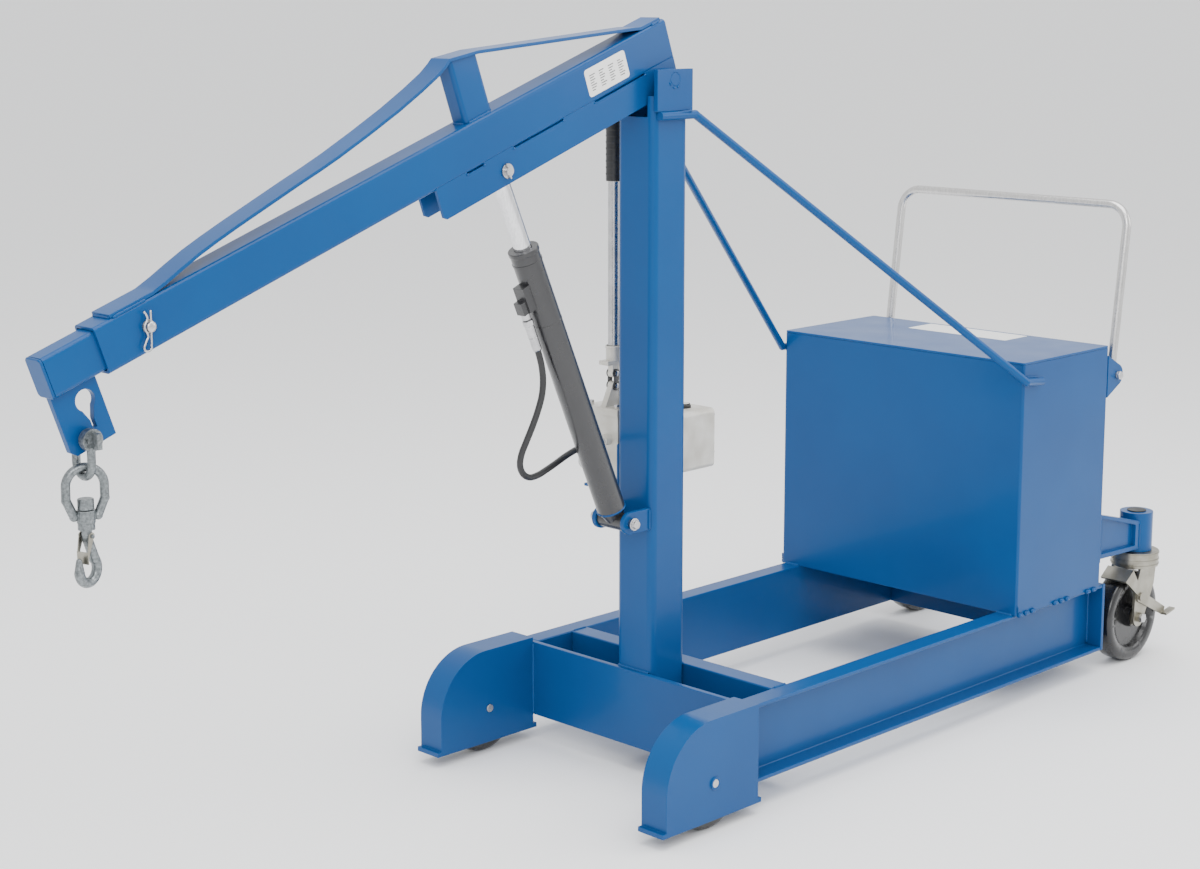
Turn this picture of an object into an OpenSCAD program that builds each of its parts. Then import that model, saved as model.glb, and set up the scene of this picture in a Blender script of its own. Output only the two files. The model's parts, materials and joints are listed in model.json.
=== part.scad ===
// Counterbalanced floor crane: a fixed mast on a wheeled frame, a ram-lifted boom with a
// pull-out extension and swivel hook, and a ballast box over two swivel casters at the back.
// Forward is -X, the crane's left side is -Y, up is +Z, and the floor is z = 0.

/* [Frame] */
// Length of the two frame rails
rail_len = 1161.5; // [1100:1:1220]
// Height of the rail channels
rail_h = 150; // [120:1:170]
// Height of the rails' underside above the floor
rail_z = 49; // [40:1:60]
// Half distance between the inner faces of the rails
rail_in = 265; // [240:1:280]
// Width of a rail flange
rail_flange = 43.5; // [36:0.5:50]

/* [Mast and boom] */
// Width of the square mast tube
mast_w = 95; // [90:1:102]
// Height of the boom pivot above the floor
pivot_z = 1320.5; // [1280:0.5:1360]
// Downward slope of the boom at rest
boom_slope = 19.7; // [15:0.1:24]
// Length of the boom ahead of its pivot
boom_reach = 1265; // [1200:1:1320]
// Width of the boom tube
boom_w = 54.6; // [50:0.2:60]
// Height of the boom tube
boom_h = 76.6; // [70:0.2:80]
// How far the extension stands out of the boom when pushed in
ext_out = 97; // [60:1:120]
// Travel of the extension
ext_travel = 300; // [100:10:320]

/* [Ram] */
// Distance of the ram's foot pin ahead of the mast's axis
foot_x = 98; // [90:1:104]
// Height of the ram's foot pin
foot_z = 501; // [470:1:530]
// Distance along the boom from the pivot to the ram's head pin
head_u = 420; // [400:1:440]
// Outer diameter of the ram barrel
barrel_d = 54; // [50:1:58]
// Diameter of the ram rod
rod_d = 32; // [28:1:34]

/* [Ballast] */
// Length of the ballast box
box_len = 319; // [260:1:330]
// Width of the ballast box
box_w = 632; // [600:2:640]
// Height of the ballast box
box_h = 533; // [420:1:600]

/* [Wheels] */
// Radius of the fixed front wheels
front_r = 90; // [80:1:95]
// Radius of the caster wheels
caster_r = 101.5; // [95:0.5:103]

/* [Hidden] */

e = 0.05;                         // running clearance of a pin in its bore
cut = 1;                          // overrun of a cutting solid
rim = 90;                         // facets of a large round

// Frame
rail_web = 7;
rail_t = 8;
rail_top = rail_z + rail_h;
plate_t = 12;
mast_half = mast_w / 2;
mast_r = 15;
mast_wall = 6;
rail_x0 = -mast_half;
rail_x1 = rail_x0 + rail_len;
rail_out = rail_in + rail_flange;
rear_t = 10;
rear_x = rail_x1 + rear_t;
beam_flange = 44.5;

// Boom, in its own frame: u rearward along the boom and v square to it, from the pivot
tube_top = 102;
tube_bot = tube_top - boom_h;
tube_mid = tube_top - boom_h / 2;
tube_wall = 5;
tube_rear = 38;
tube_r = 7;
chan_bot = -28.6;
chan_front = -580;
chan_t = 6;
boom_half = boom_w / 2;
head_v = -5;
ext_w = 43.6;
ext_h = 65.6;
ext_r = 8;
ext_tip = -boom_reach - ext_out;
ext_cap_t = 5;
ext_len = 820;
hitch_u = -boom_reach + 87;
hitch_r = 8;
post_u0 = -473;
post_u1 = -408;
post_w = 38;
strap_t = 6;
strap_w = 48;

// Ram: length and lean from the foot pin to the head pin at rest
head_x = -head_u * cos(boom_slope) - head_v * sin(boom_slope);
head_z = pivot_z - head_u * sin(boom_slope) + head_v * cos(boom_slope);
ram_len = norm([head_x + foot_x, head_z - foot_z]);
ram_lean = atan2(-(head_x + foot_x), head_z - foot_z);
barrel_top = 572;
barrel_bot = 26;
barrel_wall = 6;
pin_r = 8;

// Cheeks and the boom pivot pin
cheek_t = 9.5;
cheek_z0 = pivot_z - 58;
cheek_z1 = pivot_z + 18.5;
pivot_r = 12.5;
sleeve_r = 19;

// Wheel housings
house_x0 = -304;
house_x1 = rail_x0 - plate_t;
house_y0 = 266;
house_y1 = 327;
house_z0 = 21;
house_top = rail_top + 9.5;
house_arc = 118;
house_t = 5;
front_axle_x = -178;
front_wheel_w = 38;
front_axle_r = 8;
house_mid = (house_y0 + house_y1) / 2;

// Ballast box
box_x0 = 770;
box_x1 = box_x0 + box_len;
box_half = box_w / 2;
box_t = 5;
box_r = 6;
box_top = rail_top + box_h;

// Casters
king_x = 1279;
king_y = 286;
caster_trail = 35;
caster_w = 50;
socket_r = 36.5;
socket_z0 = 246;
socket_z1 = 334;
stem_r = 14;
race_r = 52;
race_z0 = 209;
caster_axle_r = 6.5;
wheel_x = king_x - caster_trail;
leg_in = 31;
leg_t = 6;

// Push handle
handle_half = 300;
handle_r = 9.5;
handle_x = box_x1 + 36;
handle_z = 664;
handle_lean = 7.5;
handle_h = 364;
handle_bend = 48;
ear_t = 5.5;

// Pump
pump_y = 100;
fulcrum_x = -2;
fulcrum_z = 757;
throw_r = 26;
throw_a = 27.5;
throw_x = fulcrum_x + throw_r * cos(throw_a);
throw_z = fulcrum_z - throw_r * sin(throw_a);
head_top = 694;
link_z = 733;
lever_pin = 4;
grip_top = 1270;

// The crane is centred on x = 0, between the extension's tip and the caster race
front_end = ext_tip * cos(boom_slope) - (tube_mid + ext_h / 2) * sin(boom_slope);
rear_end = wheel_x + caster_r + 25;
shift_x = -(front_end + rear_end) / 2;

// Hose: its route from the ram's fitting down, out and round to the pump, and its radius
hose_r = 6;
hose_step = 24;
hose_path = [
    [-308.1, 0, 872.4], [-301.7, 0, 857.7], [-293.5, 0, 838], [-286, 1, 815], [-282, 2, 790],
    [-284, 3, 763], [-292, 5, 736], [-303, 8, 708], [-314, 12, 682], [-322, 17, 658],
    [-321, 22, 636], [-309, 26, 618], [-288, 31, 608], [-262, 36, 608], [-236, 41, 613],
    [-210, 46, 619], [-184, 52, 625], [-158, 58, 630], [-130, 66, 633], [-102, 75, 634],
    [-78, 82, 634], [-58, 84, 634]
];

// ---------------------------------------------------------------- shared shapes

// A cylinder along +X, +Y or +Z from a point
module rod_x(p, r, l) translate(p) rotate([0, 90, 0]) cylinder(r = r, h = l, $fn = 48);
module rod_y(p, r, l) translate(p) rotate([-90, 0, 0]) cylinder(r = r, h = l, $fn = 48);
module rod_z(p, r, l) translate(p) cylinder(r = r, h = l, $fn = 48);

// A cylinder between two points
module bar(a, b, r) {
    d = b - a;
    translate(a)
        rotate([0, atan2(norm([d[0], d[1]]), d[2]), atan2(d[1], d[0])])
            cylinder(r = r, h = norm(d), $fn = 32);
}

// A rectangle centred on the origin with round corners
module round_rect(w, h, r) {
    square([w - 2 * r, h], center = true);
    square([w, h - 2 * r], center = true);
    for (i = [-1, 1], j = [-1, 1])
        translate([i * (w / 2 - r), j * (h / 2 - r)]) circle(r = r, $fn = 32);
}

// A rectangular tube's section
module tube_section(w, h, r, t) {
    difference() {
        round_rect(w, h, r);
        round_rect(w - 2 * t, h - 2 * t, max(r - t, 1));
    }
}

// An outline in X and Z, made into a plate between two heights on Y
module plate_xz(y0, y1)
    translate([0, y1, 0]) rotate([90, 0, 0]) linear_extrude(y1 - y0) children();

// The crane's own frame, measured from the mast's axis
module on_mast() translate([shift_x, 0, 0]) children();

// The boom's frame at rest: x along the boom, z square to it, from the pivot
module on_boom() on_mast() translate([0, 0, pivot_z]) rotate([0, -boom_slope, 0]) children();

// The ram's frame at rest: z along the ram, from the foot pin
module on_ram() on_mast() translate([-foot_x, 0, foot_z]) rotate([0, -ram_lean, 0]) children();

// ---------------------------------------------------------------- frame

// One rail on the crane's left: a channel with its web inward
module rail() color("#0a5fa8") {
    translate([rail_x0, -rail_in - rail_web, rail_z]) cube([rail_len, rail_web, rail_h]);
    for (z = [rail_z, rail_top - rail_t])
        translate([rail_x0, -rail_out, z]) cube([rail_len, rail_flange, rail_t]);
}
module left_rail() on_mast() rail();
module right_rail() on_mast() mirror([0, 1, 0]) rail();

module front_plate() color("#0a5fa8") on_mast()
    translate([house_x1, -rail_out, rail_z]) cube([plate_t, 2 * rail_out, rail_h]);

module rear_crossbeam() color("#0a5fa8") on_mast() {
    translate([mast_half, -rail_in, rail_z]) cube([rail_web, 2 * rail_in, rail_h]);
    for (z = [rail_z, rail_top - rail_t])
        translate([mast_half, -rail_in, z]) cube([beam_flange, 2 * rail_in, rail_t]);
}

module rear_plate() color("#0a5fa8") on_mast()
    translate([rail_x1, -rail_out, rail_z]) cube([rear_t, 2 * rail_out, rail_h]);

// Square mast tube, notched at the top of its front wall for the boom's lowest position
module mast() color("#0a5fa8") on_mast() difference() {
    translate([0, 0, rail_z]) linear_extrude(pivot_z - 30 - rail_z)
        tube_section(mast_w, mast_w, mast_r, mast_wall);
    translate([-mast_half - cut, -boom_half - 4, pivot_z - 68])
        cube([mast_half, boom_w + 8, 60]);
}

// Two plates on the mast's sides, bored for the boom's pivot pin
module mast_cheeks() color("#0a5fa8") on_mast() for (s = [-1, 1])
    difference() {
        translate([-mast_half, s > 0 ? mast_half : -mast_half - cheek_t, cheek_z0])
            cube([mast_w, cheek_t, cheek_z1 - cheek_z0]);
        rod_y([0, -mast_w, pivot_z], pivot_r, 2 * mast_w);
    }

module boom_pivot_pin() color("#0a5fa8") on_mast()
    rod_y([0, -mast_half - cheek_t, pivot_z], pivot_r, mast_w + 2 * cheek_t);

// Two ears on the mast's front face that carry the ram's foot
ear_out = 42;
ear_in = 32;
module ram_ears() color("#0a5fa8") on_mast() for (s = [-1, 1])
    difference() {
        plate_xz(s > 0 ? ear_in : -ear_out, s > 0 ? ear_out : -ear_in) {
            translate([-foot_x, foot_z]) circle(r = 21, $fn = 64);
            translate([-foot_x, foot_z - 21]) square([foot_x - mast_half, 42]);
        }
        rod_y([-foot_x, -60, foot_z], pin_r, 120);
    }

module ram_foot_pin() color("silver") on_mast() {
    rod_y([-foot_x, -ear_out - 16, foot_z], pin_r, 2 * ear_out + 32);
    rod_y([-foot_x, -ear_out - 10, foot_z], pin_r + 4, 3);
    rod_y([-foot_x, ear_out + 7, foot_z], pin_r + 4, 3);
}

// Wheel housing on the left: two sides under a curved top, with a lip round the foot
module house_outline(inset) {
    r = house_arc - inset;
    difference() {
        union() {
            translate([house_x0 + house_arc, house_top - house_arc]) circle(r = r, $fn = rim);
            translate([house_x0 + inset, house_z0])
                square([2 * r, house_top - house_arc - house_z0]);
            translate([house_x0 + house_arc, house_z0])
                square([house_x1 - house_x0 - house_arc - inset, house_top - inset - house_z0]);
        }
        translate([house_x0 - cut, house_z0 - 2 * house_arc])
            square([400, 2 * house_arc]);
        translate([house_x1 - inset, house_z0]) square([200, 300]);
    }
}
lip = 9;
module wheel_housing() color("#0a5fa8") difference() {
    union() {
        plate_xz(-house_y1, -house_y0) house_outline(0);
        translate([house_x0 - lip, -house_y1, house_z0])
            cube([house_x1 - house_x0 + 2 * lip, house_y1 - house_y0, 9]);
        rod_y([front_axle_x, -house_y1 - 3, front_r], 12, 10);
    }
    plate_xz(-house_y1 + house_t, -house_y0 - house_t) {
        house_outline(house_t);
        translate([house_x0 + house_t, house_z0 - 2])
            square([house_x1 - house_x0 - 2 * house_t, 10]);
    }
    rod_y([front_axle_x, -house_y1 - 10, front_r], front_axle_r, 90);
}
module left_wheel_housing() on_mast() wheel_housing();
module right_wheel_housing() on_mast() mirror([0, 1, 0]) wheel_housing();

module front_axles() color("silver") on_mast() for (s = [-1, 1])
    translate([0, s * house_mid, 0]) {
        rod_y([front_axle_x, -33, front_r], front_axle_r, 66);
        rod_y([front_axle_x, front_wheel_w / 2 + 1.5, front_r], 12, 5);
        rod_y([front_axle_x, -front_wheel_w / 2 - 6.5, front_r], 12, 5);
    }

// A solid wheel turned about Y, with dished faces and a hub
module wheel(r, w, bore, hub) rotate([90, 0, 0]) rotate_extrude($fn = rim) polygon([
    [bore, -w / 2 - 1], [hub, -w / 2 - 1], [hub + 2, -w / 4], [r * 0.66, -w / 4],
    [r * 0.72, -w / 2 + 2], [r - 9, -w / 2], [r - 2, -w / 2 + 4], [r, -w / 2 + 12],
    [r, w / 2 - 12], [r - 2, w / 2 - 4], [r - 9, w / 2], [r * 0.72, w / 2 - 2],
    [r * 0.66, w / 4], [hub + 2, w / 4], [hub, w / 2 + 1], [bore, w / 2 + 1]
]);
module front_wheel(s) color("#1a1a1c") on_mast()
    translate([front_axle_x, s * house_mid, front_r])
        wheel(front_r, front_wheel_w, front_axle_r + e, 26);
module left_front_wheel() front_wheel(-1);
module right_front_wheel() front_wheel(1);

// ---------------------------------------------------------------- ballast box

module box_plan(inset)
    translate([(box_x0 + box_x1) / 2, 0])
        round_rect(box_len - 2 * inset, box_w - 2 * inset, max(box_r - inset, 1));
module counterweight_box() color("#0a5fa8") on_mast() difference() {
    translate([0, 0, rail_top]) linear_extrude(box_h - box_t) box_plan(0);
    translate([0, 0, rail_top + box_t]) linear_extrude(box_h) box_plan(box_t);
}
module counterweight_lid() color("#0a5fa8") on_mast()
    translate([0, 0, box_top - box_t]) linear_extrude(box_t) box_plan(0);

// Flat ballast slabs stacked on the box's floor
slab_t = 45;
module ballast_slabs() color("#4a4542") on_mast() for (i = [0:5])
    translate([0, 0, rail_top + box_t + i * slab_t]) linear_extrude(slab_t)
        box_plan(box_t + 10);

// Tie bars from under the cheeks to the box's front corners
tie_r = 8;
tie_z = cheek_z0 - tie_r;
tie_y = mast_half + tie_r;
tie_box = [box_x0 - 1, box_half + tie_r, 694];
module tie_bars() color("#0a5fa8") on_mast() for (s = [-1, 1]) {
    a = [-mast_half + 8, s * tie_y, tie_z];
    b = [mast_half + 8, s * tie_y, tie_z];
    c = [tie_box[0], s * tie_box[1], tie_box[2]];
    bar(a, b, tie_r);
    translate(b) sphere(r = tie_r + 0.4, $fn = 32);
    bar(b, c, tie_r);
    translate(c) sphere(r = tie_r + 0.4, $fn = 32);
    bar(c, c + [55, 0, -5], tie_r);
}

// ---------------------------------------------------------------- casters

arm_z0 = 260;
arm_z1 = 360;
arm_tip0 = 254;
arm_tip1 = 316;
arm_w = 50;
module arm_outline(inset) polygon([
    [box_x1 + inset, arm_z0 + inset], [king_x - 20, arm_tip0 + inset],
    [king_x - 20, arm_tip1 - inset], [box_x1 + inset, arm_z1 - inset]
]);
module caster_arm() color("#0a5fa8") difference() {
    union() {
        plate_xz(-king_y - 15, -king_y + 15) arm_outline(0);
        difference() {
            plate_xz(-king_y - arm_w / 2, -king_y + arm_w / 2) arm_outline(0);
            plate_xz(-king_y - arm_w, -king_y + arm_w) intersection() {
                arm_outline(10);
                square([king_x - socket_r - 6, 500]);
            }
        }
        rod_z([king_x, -king_y, socket_z0], socket_r, socket_z1 - socket_z0);
    }
    rod_z([king_x, -king_y, socket_z0 - cut], stem_r + e, socket_z1 - socket_z0 - 7);
    rod_z([king_x, -king_y, socket_z1 - 8], 19, 10);
}
module left_caster_arm() on_mast() caster_arm();
module right_caster_arm() on_mast() mirror([0, 1, 0]) caster_arm();

module socket_plugs() color("#1a1a1c") on_mast() for (s = [-1, 1]) {
    rod_z([king_x, s * king_y, socket_z1 - 6.5], 19, 6.5);
    rod_z([king_x, s * king_y, socket_z1], 21, 2.5);
}

// Swivel fork: race, top plate, two legs and the wheel's axle bolt
leg_y = king_y + leg_in;
module leg_outline() {
    polygon([
        [king_x - 34, race_z0 + 2], [king_x + 30, race_z0 + 2], [king_x + 24, 170],
        [wheel_x + 20, caster_r - 6], [wheel_x - 20, caster_r - 6], [king_x - 52, 165]
    ]);
    translate([wheel_x, caster_r]) circle(r = 21, $fn = 48);
}
module fork() color("#b5b3a6") {
    difference() {
        union() {
            rod_z([king_x, -king_y, race_z0 + 3], race_r, 33.5);
            rod_z([king_x, -king_y, race_z0], race_r - 6, 4);
            rod_z([king_x, -king_y, race_z0 + 30], stem_r, 85);
            for (y = [-king_y - leg_in - leg_t, -king_y + leg_in])
                plate_xz(y, y + leg_t) leg_outline();
        }
        rod_y([wheel_x, -king_y - 60, caster_r], caster_axle_r, 120);
    }
    rod_y([wheel_x, -king_y - leg_in - leg_t - 8, caster_r], caster_axle_r,
          2 * (leg_in + leg_t + 8));
    for (y = [-king_y - leg_in - leg_t - 7, -king_y + leg_in + leg_t])
        rod_y([wheel_x, y, caster_r], 11, 7);
    rod_y([brake_x, -brake_y - 6, brake_z], 5 - e, 8);
    rod_y([brake_x, -brake_y - 8.5, brake_z], 9, 4);
}
module left_caster_fork() on_mast() fork();
module right_caster_fork() on_mast() mirror([0, 1, 0]) fork();

module caster_wheel(s) color("#1a1a1c") on_mast()
    translate([wheel_x, s * king_y, caster_r])
        wheel(caster_r, caster_w, caster_axle_r + e, 24);
module left_caster_wheel() caster_wheel(-1);
module right_caster_wheel() caster_wheel(1);

// Brake: a side arm with a foot tab behind, and a shoe that bridges the tread in front
brake_x = wheel_x - 2;
brake_z = 150;
brake_y = king_y + leg_in + leg_t + 0.4;
module brake_outline() {
    translate([brake_x, brake_z]) circle(r = 13, $fn = 48);
    polygon([
        [brake_x - 12, brake_z + 5], [brake_x + 5, brake_z + 12],
        [brake_x - 32, brake_z + 63], [brake_x - 62, brake_z + 44]
    ]);
    polygon([
        [brake_x + 6, brake_z + 11], [brake_x - 4, brake_z - 12],
        [wheel_x + 96, 88], [wheel_x + 104, 106]
    ]);
}
module brake() color("#b5b3a6") difference() {
    union() {
        plate_xz(-brake_y - 4, -brake_y) brake_outline();
        plate_xz(-brake_y - 4, -king_y + 24) polygon([
            [brake_x - 34, brake_z + 66], [brake_x - 31, brake_z + 62],
            [brake_x - 60, brake_z + 41], [brake_x - 63, brake_z + 45]
        ]);
        plate_xz(-brake_y - 18, -brake_y - 3) polygon([
            [wheel_x + 88, 91], [wheel_x + 124, 98], [wheel_x + 125, 102], [wheel_x + 88, 96]
        ]);
    }
    rod_y([brake_x, -brake_y - 10, brake_z], 5, 20);
}
module left_caster_brake() on_mast() brake();
module right_caster_brake() on_mast() mirror([0, 1, 0]) brake();

// ---------------------------------------------------------------- push handle

// Two ears on the box's rear face
module handle_ears() color("#0a5fa8") on_mast() for (s = [-1, 1]) difference() {
    plate_xz(s > 0 ? box_half - ear_t : -box_half, s > 0 ? box_half : -box_half + ear_t) {
        translate([handle_x, handle_z]) circle(r = 24, $fn = 64);
        polygon([
            [box_x1, handle_z - 46], [handle_x + 9, handle_z - 22.2],
            [handle_x + 9, handle_z + 22.2], [box_x1, handle_z + 46]
        ]);
    }
    rod_y([handle_x, -box_w, handle_z], 5, 2 * box_w);
}
module handle_pins() color("silver") on_mast() for (s = [-1, 1]) {
    rod_y([handle_x, s > 0 ? handle_half - 12 : -box_half, handle_z], 5,
          box_half - handle_half + 12);
    rod_y([handle_x, s > 0 ? box_half : -box_half - 5, handle_z], 8.5, 5);
}

// Bent tube: two legs, two bends and a crossbar, leaning back from its hinge
handle_wall = 2;
handle_foot = 14;
module handle_path(r) {
    for (s = [-1, 1]) {
        rod_z([0, s * handle_half, -handle_foot], r, handle_h - handle_bend + handle_foot);
        translate([0, s * (handle_half - handle_bend), handle_h - handle_bend])
            rotate([90, 0, 90]) rotate([0, 0, s > 0 ? 0 : 90])
                rotate_extrude(angle = 90, $fn = 64)
                    translate([handle_bend, 0]) circle(r = r, $fn = 32);
    }
    rod_y([0, -handle_half + handle_bend, handle_h], r, 2 * (handle_half - handle_bend));
}
module push_handle() color("silver") on_mast()
    translate([handle_x, 0, handle_z]) rotate([0, handle_lean, 0]) difference() {
        handle_path(handle_r);
        handle_path(handle_r - handle_wall);
        rod_y([0, -box_half, 0], 5 + e, box_w);
    }

// ---------------------------------------------------------------- boom

// A rounded rectangular tube along the boom
module boom_box(u0, u1, vmid, w, h, r, t) translate([u0, 0, vmid])
    rotate([90, 0, 90]) linear_extrude(u1 - u0) tube_section(w, h, r, t);

module boom_tube() color("#0a5fa8") on_boom() difference() {
    boom_box(-boom_reach, tube_rear, tube_mid, boom_w, boom_h, tube_r, tube_wall);
    rod_y([hitch_u, -60, tube_mid], hitch_r + e, 120);
}

// Two side plates up to the tube's round corners, with three unwelded gaps along the seam
seam_gaps = [[-506, -465], [-391, -264], [-180, -44]];
module boom_channel() color("#0a5fa8") on_boom() difference() {
    for (s = [-1, 1]) plate_xz(s > 0 ? boom_half - chan_t : -boom_half,
                               s > 0 ? boom_half : -boom_half + chan_t)
        polygon([
            [chan_front, tube_bot + 4], [chan_front, chan_bot + 5], [chan_front + 6, chan_bot],
            [tube_rear, chan_bot], [tube_rear, tube_bot + 4]
        ]);
    translate([chan_front - cut, 0, tube_mid]) rotate([90, 0, 90])
        linear_extrude(tube_rear - chan_front + 2 * cut) round_rect(boom_w, boom_h, tube_r);
    for (g = seam_gaps) translate([g[0], -60, tube_bot - 1]) cube([g[1] - g[0], 120, 6]);
    rod_y([-head_u, -60, head_v], pin_r + e, 120);
    rod_y([0, -60, 0], sleeve_r, 120);
}

// Sleeve through the side plates that turns on the pivot pin
module pivot_sleeve() color("#0a5fa8") on_boom() difference() {
    rod_y([0, -mast_half + 0.5, 0], sleeve_r, mast_w - 1);
    rod_y([0, -60, 0], pivot_r + e, 120);
}

// Rounded tube that props the strap, cut off along the strap's slope
post_top0 = 214;
post_top1 = 204;
module king_post() color("#0a5fa8") on_boom() difference() {
    translate([(post_u0 + post_u1) / 2, 0, tube_top]) linear_extrude(140)
        tube_section(post_u1 - post_u0, post_w, 8, 5);
    plate_xz(-40, 40) polygon([
        [post_u0, post_top0], [post_u1, post_top1], [post_u1, 300], [post_u0, 300]
    ]);
}

// Flat bar over the post, flat on the tube at both ends, with a hollow sweep ahead of the post
strap_front = -1232;
strap_foot = -1150;
strap_route = [
    [post_u0, post_top0], [-504, 200], [-605, 177], [-747, 155], [-837, 146],
    [-967, 132.5], [-1051, 121.5], [-1118, 107.5], [strap_foot, tube_top]
];
strap_line = concat(
    [[30, tube_top], [-22, tube_top], [-38, tube_top + 5], [post_u1, post_top1]],
    [for (i = [0:len(strap_route) - 2], k = [0:1]) spline_at(strap_route, i, k / 2)],
    [[strap_foot, tube_top], [strap_front, tube_top]]
);
function strap_dir(i) = let (a = strap_line[max(i - 1, 0)],
    b = strap_line[min(i + 1, len(strap_line) - 1)]) (b - a) / norm(b - a);
module truss_strap() color("#0a5fa8") on_boom() plate_xz(-strap_w / 2, strap_w / 2)
    polygon(concat(strap_line, [for (i = [len(strap_line) - 1:-1:0])
        let (d = strap_dir(i)) strap_line[i] + strap_t * [d[1], -d[0]]]));

module ram_head_pin() color("silver") on_boom() {
    rod_y([-head_u, -boom_half - 9, head_v], pin_r, boom_w + 18);
    rod_y([-head_u, -boom_half - 3, head_v], pin_r + 5, 2.5);
    rod_y([-head_u, boom_half + 0.5, head_v], pin_r + 5, 2.5);
    rod_z([-head_u, -boom_half - 6, head_v - 14], 1.6, 28);
}

// Hitch pin across the boom, with a spring clip through its end
module hitch_pin() color("silver") on_boom() {
    rod_y([hitch_u, -boom_half - 12, tube_mid], hitch_r, boom_w + 16);
    rod_y([hitch_u, boom_half, tube_mid], hitch_r + 4, 5);
    clip = [for (p = [[-4, 30], [4, -34], [-4, -42], [-12, -34], [-13, 24]])
        [hitch_u + p[0], -boom_half - 7, tube_mid + p[1]]];
    for (i = [0:3]) bar(clip[i], clip[i + 1], 1.8);
    for (i = [1:3]) translate(clip[i]) sphere(r = 2.2, $fn = 24);
}

// Extension tube with one slot for the hitch pin, and its welded end cap
module extension_tube() color("#0a5fa8") on_boom() difference() {
    boom_box(ext_tip + ext_cap_t, ext_tip + ext_len, tube_mid, ext_w, ext_h, ext_r, 5);
    rod_y([hitch_u, -60, tube_mid], hitch_r + 1, 120);
    rod_y([hitch_u + ext_travel, -60, tube_mid], hitch_r + 1, 120);
    translate([hitch_u, -60, tube_mid - hitch_r - 1])
        cube([ext_travel, 120, 2 * hitch_r + 2]);
}
module extension_cap() color("#0a5fa8") on_boom() translate([ext_tip, 0, tube_mid])
    rotate([90, 0, 90]) linear_extrude(ext_cap_t) round_rect(ext_w, ext_h, ext_r);

// Plate under the tip: a keyhole for chain, and a hole for the shackle's pin
plate_half = 6;
ext_bot = tube_mid - ext_h / 2;
key_u = -1307;
key_v = 1;
key_r = 17;
lug_u = -1329;
lug_v = -52;
lug_r = 9;
hook_front = -1359;
hook_back = -1278;
module hook_plate() color("#0a5fa8") on_boom() difference() {
    plate_xz(-plate_half, plate_half) polygon([
        [hook_front, ext_bot], [hook_front, -62], [hook_front + 9, -71],
        [hook_back, -70], [hook_back, ext_bot]
    ]);
    rod_y([key_u, -20, key_v], key_r, 40);
    plate_xz(-20, 20) polygon([
        [key_u - 12, key_v - 10], [key_u + 12, key_v - 10], [key_u + 3.5, key_v - 32],
        [key_u + 3.5, key_v - 46], [key_u - 3.5, key_v - 46], [key_u - 3.5, key_v - 32]
    ]);
    rod_y([lug_u, -20, lug_v], lug_r, 40);
}

// ---------------------------------------------------------------- load chain

lug_x = lug_u * cos(boom_slope) - lug_v * sin(boom_slope);
lug_z = pivot_z + lug_u * sin(boom_slope) + lug_v * cos(boom_slope);
module on_lug() on_mast() translate([lug_x, 0, lug_z]) children();

// Bow shackle hanging from the plate
bow_r = 21;
bow_bar = 6.5;
bow_drop = 38;
pin_shackle = 8;
module shackle() color("#9fa3a5") on_lug() difference() {
    union() {
        for (s = [-1, 1]) {
            rod_y([0, s > 0 ? bow_r - 7 : -bow_r - 7, 0], 17, 14);
            bar([0, s * bow_r, -6], [0, s * bow_r, -bow_drop], bow_bar);
        }
        translate([0, 0, -bow_drop]) rotate([0, 90, 0]) rotate([0, 0, -90])
            rotate_extrude(angle = 180, $fn = 64)
                translate([bow_r, 0]) circle(r = bow_bar, $fn = 32);
    }
    rod_y([0, -60, 0], pin_shackle, 120);
}
module shackle_pin() color("#9fa3a5") on_lug() {
    rod_y([0, -bow_r - 12, 0], pin_shackle, 2 * bow_r + 22);
    rod_y([0, -bow_r - 12, 0], pin_shackle + 4, 5);
    translate([-4, -bow_r - 25, -12]) cube([8, 14, 24]);
}

// Eye, turned a little on the bow, that tapers to a boss for the hook's shank
eye_turn = -20;
ring_bar = 7;
ring_half = 29;
ring_drop = 20;
ring_z = -bow_drop - bow_r + bow_bar + ring_bar + 1 - ring_half;
ring_foot = ring_z - ring_drop - ring_half;
boss_top = ring_foot + 12.5;
boss_bot = ring_foot - 7;
shank_r = 8;
nut_h = 17;
module swivel_eye() color("#9fa3a5") on_lug() rotate([0, 0, eye_turn]) difference() {
    union() {
        translate([0, 0, ring_z]) rotate([90, 0, 0]) rotate_extrude(angle = 180, $fn = 64)
            translate([ring_half, 0]) circle(r = ring_bar, $fn = 32);
        for (s = [-1, 1]) {
            shoulder = [s * ring_half, 0, ring_z - ring_drop];
            foot = [s * 18, 0, ring_foot + 3];
            rod_z(shoulder, ring_bar, ring_drop);
            bar(shoulder, foot, ring_bar);
            for (p = [shoulder, foot]) translate(p) sphere(r = ring_bar + 0.4, $fn = 32);
        }
        rod_z([0, 0, boss_bot], 14, boss_top - boss_bot);
    }
    rod_z([0, 0, boss_bot - 10], shank_r + e, 40);
}
module swivel_nut() color("#9fa3a5") on_lug() difference() {
    rod_z([0, 0, boss_top + 0.5], 12.5, nut_h);
    rod_z([0, 0, boss_top], shank_r, nut_h - 1);
}

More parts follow.
